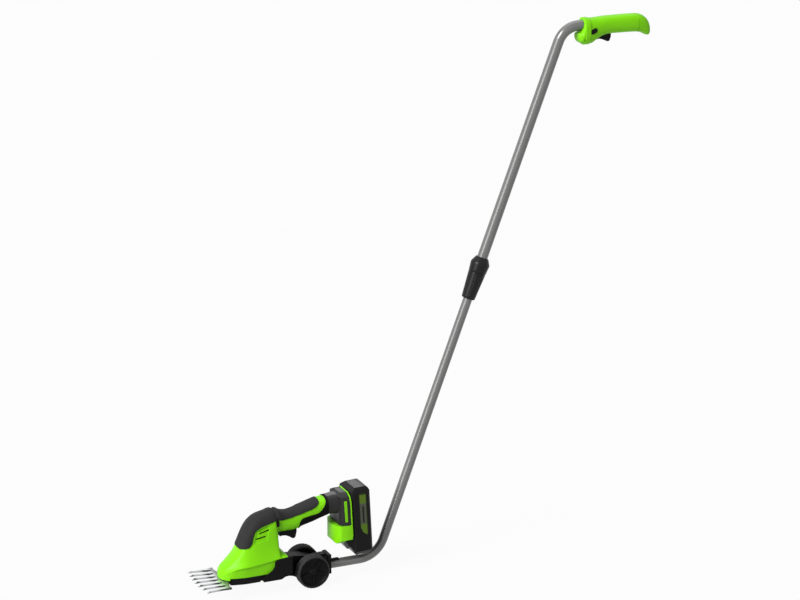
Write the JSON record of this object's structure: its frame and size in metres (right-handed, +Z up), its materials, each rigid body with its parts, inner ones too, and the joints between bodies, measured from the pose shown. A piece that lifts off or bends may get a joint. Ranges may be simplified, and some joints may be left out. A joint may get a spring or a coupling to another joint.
{
  "type": "cordless grass shears",
  "caption": "Cordless grass shears with a fan of cutting teeth, clip-in battery and rear grip, carried on a two-wheeled trolley with a telescopic pole and an upper trigger handle.",
  "frame": {"origin": "on the floor, below the middle of the whole length and width", "axes": "+X from the blades back to the upper handle, +Z up, +Y to the right of a user who looks along +X"},
  "size_m": [0.9554, 0.112, 1.0661],
  "materials": {
    "lime_shell": "satin moulded lime green",
    "soft_grip": "soft matte charcoal",
    "dark_plastic": "fine textured charcoal",
    "black_plastic": "fine textured black",
    "blade_steel": "ground steel",
    "bright_steel": "turned steel",
    "plate_steel": "zinc plated sheet",
    "bronze": "sintered bronze",
    "white_plastic": "natural acetal",
    "cell_wrap": "shrink wrapped",
    "panel_plastic": "satin inlay",
    "latch_plastic": "grey moulded",
    "tread": "ribbed matte",
    "tube_metal": "satin grey coated"
  },
  "bodies": {
    "frame": {"housing_left": "lime_shell", "housing_right": "lime_shell", "hood_grip": "soft_grip", "lower_grip": "soft_grip", "base_cover": "black_plastic", "dock_cover": "dark_plastic", "dock_frame": "lime_shell", "terminal_block": "black_plastic", "trigger_pin": "bright_steel", "trigger_spring": "bright_steel", "trigger_switch": "dark_plastic", "motor_can": "bright_steel", "motor_end_cap": "black_plastic", "gear_bush": "bronze", "gearbox_plate": "plate_steel", "motor_plate": "plate_steel", "blade_holder": "black_plastic", "fixed_blade": "blade_steel", "blade_pivot": "bright_steel", "blade_screws": "bright_steel", "housing_screws": "bright_steel", "trolley_bracket": "black_plastic", "axle": "bright_steel", "axle_caps": "dark_plastic", "tube_stop": "black_plastic", "lower_tube": "tube_metal", "tube_bush": "black_plastic"},
    "battery": {"battery_case": "black_plastic", "battery_cover": "black_plastic", "battery_cells": "cell_wrap", "battery_panels": "panel_plastic", "latch_spring": "bright_steel"},
    "latch": {"battery_latch": "latch_plastic"},
    "trigger_lever": {"trigger": "black_plastic"},
    "lock_bolt": {"lock_button": "black_plastic"},
    "rotor": {"motor_shaft": "bright_steel", "motor_pinion": "bronze"},
    "gear": {"drive_gear": "white_plastic", "gear_shaft": "bright_steel"},
    "cutter": {"moving_blade": "blade_steel"},
    "left_wheel": {"wheel_left": "black_plastic", "tyre_left": "tread"},
    "right_wheel": {"wheel_right": "black_plastic", "tyre_right": "tread"},
    "pin": {"pole_pin": "black_plastic"},
    "upper_pole": {"upper_tube": "tube_metal", "lock_collar": "black_plastic", "lock_collet": "white_plastic", "handle_left": "lime_shell", "handle_right": "lime_shell", "handle_end_cap": "lime_shell", "handle_trigger_pin": "bright_steel", "handle_trigger_spring": "bright_steel", "handle_switch": "dark_plastic", "handle_screws": "bright_steel"},
    "sleeve": {"lock_sleeve": "black_plastic"},
    "upper_trigger": {"handle_trigger": "black_plastic"},
    "upper_button": {"handle_button": "black_plastic"}
  },
  "joints": [
    {"name": "battery_slide", "type": "slide", "parent": "frame", "child": "battery", "axis": [0.0523, 0, -0.9986], "range_m": [0, 0.01]},
    {"name": "latch_press", "type": "slide", "parent": "battery", "child": "latch", "axis": [0.8501, 0, 0.5267], "range_m": [0, 0.003], "stiffness_N_per_m": 1500, "springref_m": -0.001, "deforming": ["latch_spring"]},
    {"name": "trigger_pull", "type": "hinge", "parent": "frame", "child": "trigger_lever", "pos_m": [-0.30066, 0, 0.121], "axis": [0, -1, 0], "range_deg": [0, 10], "stiffness_Nm_per_rad": 0.6, "springref_deg": -2.86, "deforming": ["trigger_spring"]},
    {"name": "lock_press", "type": "slide", "parent": "frame", "child": "lock_bolt", "axis": [0, 1, 0], "range_m": [-0.003, 0.003], "stiffness_N_per_m": 800},
    {"name": "gear_spin", "type": "hinge", "parent": "frame", "child": "gear", "pos_m": [-0.3696, 0, 0.054], "axis": [0, 0, 1], "continuous": true},
    {"name": "motor_spin", "type": "hinge", "parent": "frame", "child": "rotor", "pos_m": [-0.34305, 0, 0.054], "axis": [0, 0, 1], "continuous": true},
    {"name": "blade_swing", "type": "hinge", "parent": "frame", "child": "cutter", "pos_m": [-0.40765, 0, 0.0375], "axis": [0, 0, 1], "range_deg": [-6, 6]},
    {"name": "wheel_left_spin", "type": "hinge", "parent": "frame", "child": "left_wheel", "pos_m": [-0.24666, -0.0284, 0.033], "axis": [0, 1, 0], "continuous": true},
    {"name": "wheel_right_spin", "type": "hinge", "parent": "frame", "child": "right_wheel", "pos_m": [-0.24666, 0.0284, 0.033], "axis": [0, 1, 0], "continuous": true},
    {"name": "pole_pin_lift", "type": "slide", "parent": "frame", "child": "pin", "axis": [0, 0, 1], "range_m": [0, 0.006], "stiffness_N_per_m": 600, "springref_m": -0.003},
    {"name": "pole_slide", "type": "slide", "parent": "frame", "child": "upper_pole", "axis": [0.3584, 0, 0.9336], "range_m": [-0.22, 0.04]},
    {"name": "sleeve_twist", "type": "hinge", "parent": "upper_pole", "child": "sleeve", "pos_m": [0.10454, 0, 0.55834], "axis": [0.3584, 0, 0.9336], "range_deg": [0, 90]},
    {"name": "upper_trigger_pull", "type": "hinge", "parent": "upper_pole", "child": "upper_trigger", "pos_m": [0.36266, 0, 1.033], "axis": [0, -1, 0], "range_deg": [0, 9], "stiffness_Nm_per_rad": 0.5, "springref_deg": -2.86, "deforming": ["handle_trigger_spring"]},
    {"name": "upper_button_press", "type": "slide", "parent": "upper_pole", "child": "upper_button", "axis": [0, 1, 0], "range_m": [0, 0.003], "stiffness_N_per_m": 800, "springref_m": -0.001}
  ],
  "couplings": [
    {"joint": "motor_spin", "follows": "gear_spin", "ratio": -3}
  ]
}
